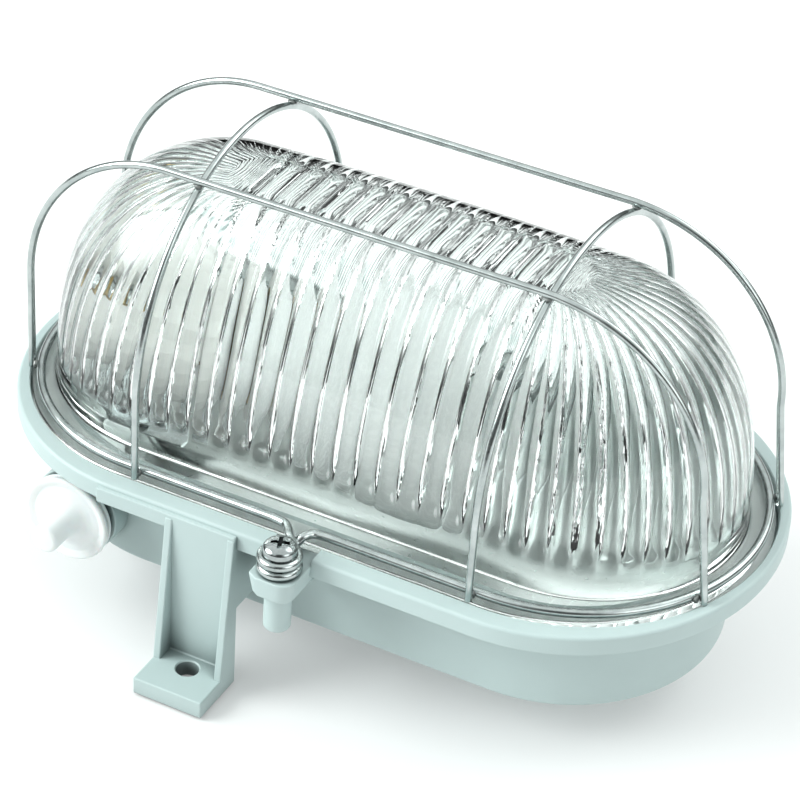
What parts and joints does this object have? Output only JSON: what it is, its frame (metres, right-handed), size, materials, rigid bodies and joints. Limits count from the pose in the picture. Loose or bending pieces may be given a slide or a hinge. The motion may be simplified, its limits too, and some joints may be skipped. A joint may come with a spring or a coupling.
{
  "type": "caged bulkhead ceiling light",
  "caption": "Oval bulkhead light with a ribbed clear glass dome, a hinged welded wire guard held by a clamp screw, and a plastic base on two feet.",
  "frame": {"origin": "centre of the mounting plane under the two feet", "axes": "+X along the light, away from the lampholder end; -Y towards the clamp screw and cable entry; +Z away from the mounting surface, towards the glass"},
  "size_m": [0.2106, 0.1526, 0.126],
  "materials": {
    "base_plastic": "fine matt moulded surface",
    "gasket_rubber": "matt",
    "clear_glass": "clear pressed, polished outside",
    "guard_wire": "bright zinc plated wire",
    "plated_steel": "zinc plated",
    "soft_plastic": "soft, natural white",
    "porcelain": "glazed white",
    "brass": "plain",
    "opal_bulb": "opal"
  },
  "bodies": {
    "base": {"base_housing": "base_plastic", "gasket": "gasket_rubber", "glass_dome": "clear_glass", "cable_grommet": "soft_plastic", "lampholder_bracket": "plated_steel", "bracket_screw_front": "plated_steel", "bracket_screw_rear": "plated_steel", "lampholder_body": "porcelain", "holder_screw_upper": "plated_steel", "holder_screw_lower": "plated_steel", "lampholder_shell": "brass", "centre_contact": "brass", "terminal_block_live": "brass", "terminal_block_neutral": "brass", "terminal_screw_live": "plated_steel", "terminal_screw_neutral": "plated_steel", "bulb": "opal_bulb"},
    "guard": {"guard_ring_wire": "guard_wire", "guard_long_wire_front": "guard_wire", "guard_long_wire_rear": "guard_wire", "guard_cross_wire_left": "guard_wire", "guard_cross_wire_right": "guard_wire"},
    "screw": {"clamp_screw": "plated_steel"}
  },
  "joints": [
    {"name": "guard_hinge", "type": "hinge", "parent": "base", "child": "guard", "pos_m": [0, 0.0632, 0.047], "axis": [-1, 0, 0], "range_deg": [0, 110]},
    {"name": "clamp_screw_travel", "type": "slide", "parent": "guard", "child": "screw", "axis": [0, 0, 1], "range_m": [0, 0.011]}
  ]
}
